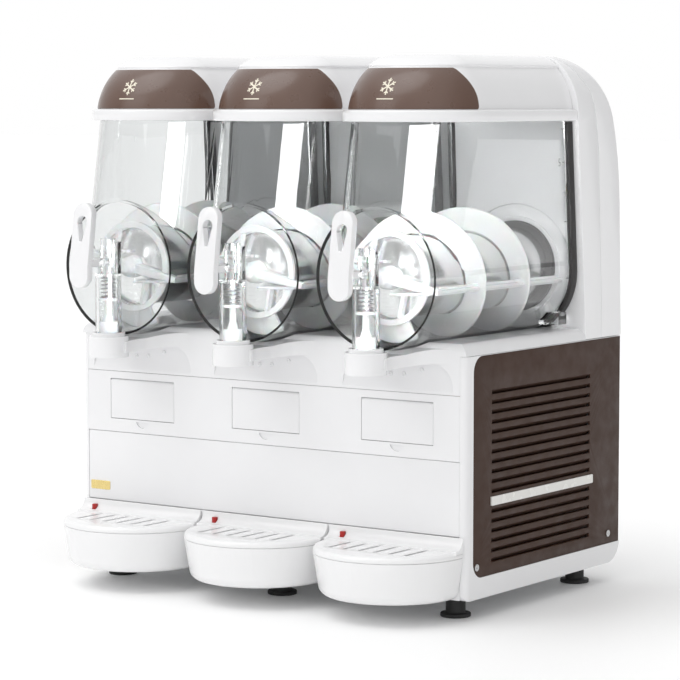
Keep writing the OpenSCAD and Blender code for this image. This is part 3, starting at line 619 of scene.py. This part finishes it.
# Springs over the tap pistons
def spring(i):
    """A coil with closed ends, in the place of the tap spring."""
    low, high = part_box(f"tap_spring_{i}")
    centre = (low + high) / 2
    wire = 0.0008
    radius = (high.x - low.x) / 2 - wire - 0.0002
    turns, ends = 5.0, 0.5
    steps = 200
    build = Build()
    rings = []
    for k in range(steps + 1):
        t = k / steps
        a = 2 * math.pi * (turns + 2 * ends) * t
        rise = min(1.0, max(0.0, (t * (turns + 2 * ends) - ends) / turns))
        z = low.z + wire + (high.z - low.z - 2 * wire) * (0.06 * t + 0.94 * rise)
        out = Vector((math.cos(a), math.sin(a), 0))
        middle = Vector((centre.x, centre.y, z)) + out * radius
        rings.append([middle + out * wire * math.cos(b) + Vector((0, 0, wire * math.sin(b)))
                      for b in (math.pi / 4 * m for m in range(8))])
    build.loft(rings)
    piece = build.piece(f"valve_spring_{i}", SPRING, "root", slot="spring_steel",
                        replaces=[f"tap_spring_{i}"])
    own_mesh(piece)


# Small details on the bowls and the cabinet
TICK_Z = (0.534, 0.496, 0.462, 0.428, 0.363)
TICK_FIVE = 1
GASKET_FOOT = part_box("bowl_gaskets")[0].y
GASKET_TOP_Z = 0.542
GASKET_LEAN = math.radians(4.6)


def wall_front_y(z):
    """Front face of a gasket at height z, which leans with the tower."""
    return GASKET_FOOT + (GASKET_TOP_Z - z) * math.tan(GASKET_LEAN)


def ticks(i):
    """Level marks on the right wall of a bowl, one of them numbered."""
    wall_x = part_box(f"bowl_{i}")[1].x - 0.0005
    back, front = wall_x - 0.0002, wall_x + 0.0003
    digit_w, digit_half, stroke = 0.0035, 0.004, 0.0008
    build = Build()
    for k, z in enumerate(TICK_Z):
        y = wall_front_y(z) - 0.002
        build.box((back, y - 0.0055, z - 0.0005), (front, y, z + 0.0005))
        if k == TICK_FIVE:
            y -= 0.014
            for dz in (digit_half, 0, -digit_half):
                build.box((back, y, z + dz - stroke / 2), (front, y + digit_w, z + dz + stroke / 2))
            build.box((back, y, z), (front, y + stroke, z + digit_half))
            build.box((back, y + digit_w - stroke, z - digit_half), (front, y + digit_w, z))
    build.piece(f"level_marks_{i}", TICK, "root")


def rounded_plate(build, centre, size, corner, thick):
    """A thin plate with round corners and a chamfered front edge, facing -Y."""
    def outline(shrink):
        hx, hz = size[0] / 2 - shrink, size[1] / 2 - shrink
        r = max(corner - shrink, 0.0001)
        points = []
        corners = ((hx - r, hz - r, 0), (-hx + r, hz - r, 90),
                   (-hx + r, -hz + r, 180), (hx - r, -hz + r, 270))
        for cx, cz, a0 in corners:
            for k in range(7):
                a = math.radians(a0 + 15 * k)
                points.append((cx + r * math.cos(a), cz + r * math.sin(a)))
        return points

    x, y, z = centre
    chamfer = thick * 0.4
    rings = [[(x + u, y + d, z + v) for u, v in outline(s)]
             for s, d in ((0, 0), (0, -thick + chamfer), (chamfer, -thick))]
    build.loft(rings)


def badge():
    """A blank gold plate at the left end of the lower panel."""
    build = Build()
    rounded_plate(build, (-SIDE_X + 0.026, PANEL_Y, 0.1105), (0.029, 0.0105), 0.0015, 0.0008)
    build.piece("badge", GOLD, "root")


def screw_head(build, x, y, z, r):
    """A domed head of radius r with a round recess, facing -Y."""
    place = Matrix.Translation((x, y, z))
    profile = [(r, 0.0), (r, -0.0006), (r * 0.8, -0.0014), (r * 0.45, -0.0017), (r * 0.4, -0.0008),
               (0.0002, -0.0008)]
    build.lathe(profile, place, 24)


def deck_screws():
    """Three screws under each tongue, in the sloping hollow of the deck's skirt."""
    cove_z = (0.251, 0.2824)
    cove_depth = 0.006
    build = Build()
    for i in BOWLS:
        for dx, z in ((-0.010, 0.2672), (0.007, 0.2682), (0.030, 0.2735)):
            sunk = cove_depth * (z - cove_z[0]) / (cove_z[1] - cove_z[0])
            screw_head(build, BOWL_X[i] + dx, from_panel(sunk), z, 0.0024)
    build.piece("deck_screws", WHITE, "root")


for i in BOWLS:
    lid(i)
    label(i)
    emblem(i)
    auger(i)
    drum_face(i)
    spring(i)
    ticks(i)
badge()
deck_screws()


# ---------- Stage, lights and camera ----------

CAMERA_AZIMUTH = 35.04
SIDE_STOPS = ((0.0, 0.45), (0.2, 0.8), (0.35, 1.0), (0.65, 1.0), (0.8, 0.62), (1.0, 0.3))
RISE_STOPS = ((0.0, 1.0), (0.3, 0.96), (1.0, 1.0))
CAMERA_PITCH = 5.08
CAMERA_EYE = (1.82968, -2.57476, 0.56826)
CAMERA_LENS = 143.75

# For each bowl, the azimuths of its stripe light's two sides and the light's elevation, in degrees
STRIPE_AZIMUTHS = {1: (37, 71, 8), 2: (15, 55, 11.5), 3: (0, 57, 14)}
STRIPE_POWER = 34
HOPPER_Z = 0.48


def stage_floor():
    """A wide white floor that gives off a little light, so that it meets the backdrop without a line."""
    mesh = bpy.data.meshes.new("floor")
    reach = 30.0
    mesh.from_pydata([(-reach, -reach, 0), (reach, -reach, 0), (reach, reach, 0), (-reach, reach, 0)], [],
                     [(0, 1, 2, 3)])
    look = Look("floor", (0.96, 0.96, 0.96), Roughness=0.6,
                Emission_Color=(1, 1, 1, 1), Emission_Strength=0.04)
    look.tone(look.noise(3), 0.004)
    mesh.materials.append(look.material)
    floor = bpy.data.objects.new("floor", mesh)
    bpy.context.scene.collection.objects.link(floor)


def world():
    """A white studio: plain white behind the object, and a soft light round it that fades towards both
    sides, seen from CAMERA_AZIMUTH."""
    bpy.context.scene.world = bpy.data.worlds.new("studio")
    bpy.context.scene.world.use_nodes = True
    tree = bpy.context.scene.world.node_tree
    new, link = tree.nodes.new, tree.links.new

    def ramp(source, stops):
        node = new("ShaderNodeValToRGB")
        elements = node.color_ramp.elements
        while len(elements) < len(stops):
            elements.new(0.5)
        for element, (place, level) in zip(elements, stops):
            element.position = place
            element.color = (level, level, level, 1)
        link(source, node.inputs["Fac"])
        return node.outputs["Color"]

    def maths(operation, *values):
        node = new("ShaderNodeMath")
        node.operation = operation
        for socket, value in zip(node.inputs, values):
            if isinstance(value, float):
                socket.default_value = value
            else:
                link(value, socket)
        return node.outputs["Value"]

    split = new("ShaderNodeSeparateXYZ")
    link(new("ShaderNodeTexCoord").outputs["Generated"], split.inputs["Vector"])
    azimuth = math.radians(CAMERA_AZIMUTH)
    sideways = maths("ADD", maths("MULTIPLY", split.outputs["X"], math.cos(azimuth)),
                     maths("MULTIPLY", split.outputs["Y"], math.sin(azimuth)))
    across = ramp(maths("MULTIPLY_ADD", sideways, 0.5, 0.5), SIDE_STOPS)
    level = maths("MULTIPLY", across, ramp(split.outputs["Z"], RISE_STOPS))
    surround = new("ShaderNodeBackground")
    link(level, surround.inputs["Color"])
    backdrop = tree.nodes["Background"]
    backdrop.inputs["Color"].default_value = (1, 1, 1, 1)
    mix = new("ShaderNodeMixShader")
    link(new("ShaderNodeLightPath").outputs["Is Camera Ray"], mix.inputs["Fac"])
    link(surround.outputs["Background"], mix.inputs[1])
    link(backdrop.outputs["Background"], mix.inputs[2])
    link(mix.outputs["Shader"], tree.nodes["World Output"].inputs["Surface"])


def direction(azimuth, elevation):
    """A unit vector; azimuth 0 is in front of the object and 90 to its right."""
    a, e = math.radians(azimuth), math.radians(elevation)
    return Vector((math.sin(a) * math.cos(e), -math.cos(a) * math.cos(e), math.sin(e)))


def sun(azimuth, elevation, strength, spread):
    """A sun whose disc is spread degrees wide."""
    data = bpy.data.lights.new("sun", "SUN")
    data.energy = strength
    data.angle = math.radians(spread)
    light = bpy.data.objects.new("sun", data)
    light.rotation_euler = direction(azimuth, elevation).to_track_quat("Z", "Y").to_euler()
    bpy.context.scene.collection.objects.link(light)


def softbox(name, azimuth, elevation, distance, size, power, target=(0, 0, 0.33), only=None):
    """A rectangular light; only names the one node that it lights and shows in."""
    out = direction(azimuth, elevation)
    data = bpy.data.lights.new(name, "AREA")
    data.shape = "RECTANGLE"
    data.size, data.size_y = size
    data.energy = power
    light = bpy.data.objects.new(name, data)
    light.location = Vector(target) + out * distance
    light.rotation_euler = out.to_track_quat("Z", "Y").to_euler()
    light.visible_camera = False
    if only:
        lit = bpy.data.collections.new(name)
        lit.objects.link(NODES[only])
        light.light_linking.receiver_collection = lit
    bpy.context.scene.collection.objects.link(light)


def camera():
    """Long lens from the front right, at the height of the lids' labels."""
    azimuth, pitch = math.radians(CAMERA_AZIMUTH), math.radians(CAMERA_PITCH)
    forward = Vector((-math.sin(azimuth) * math.cos(pitch), math.cos(azimuth) * math.cos(pitch),
                      -math.sin(pitch)))
    data = bpy.data.cameras.new("camera")
    data.sensor_width = 36
    data.lens = CAMERA_LENS
    data.clip_end = 60
    eye = bpy.data.objects.new("camera", data)
    eye.location = CAMERA_EYE
    eye.rotation_euler = forward.to_track_quat("-Z", "Y").to_euler()
    bpy.context.scene.collection.objects.link(eye)
    bpy.context.scene.camera = eye


stage_floor()
world()
sun(-42, 62, 0.85, 45)
softbox("key", -30, 30, 2.6, (1.4, 1.0), 5)
for i, (first, last, rise) in STRIPE_AZIMUTHS.items():
    width = 2 * math.tan(math.radians(last - first) / 2)
    softbox(f"stripe_{i}", (first + last) / 2, rise, 1.0, (width, 0.8), STRIPE_POWER * width,
            (BOWL_X[i], from_panel(0), HOPPER_Z), only=f"bowl_{i}")
camera()
bpy.context.scene.view_settings.view_transform = "Standard"
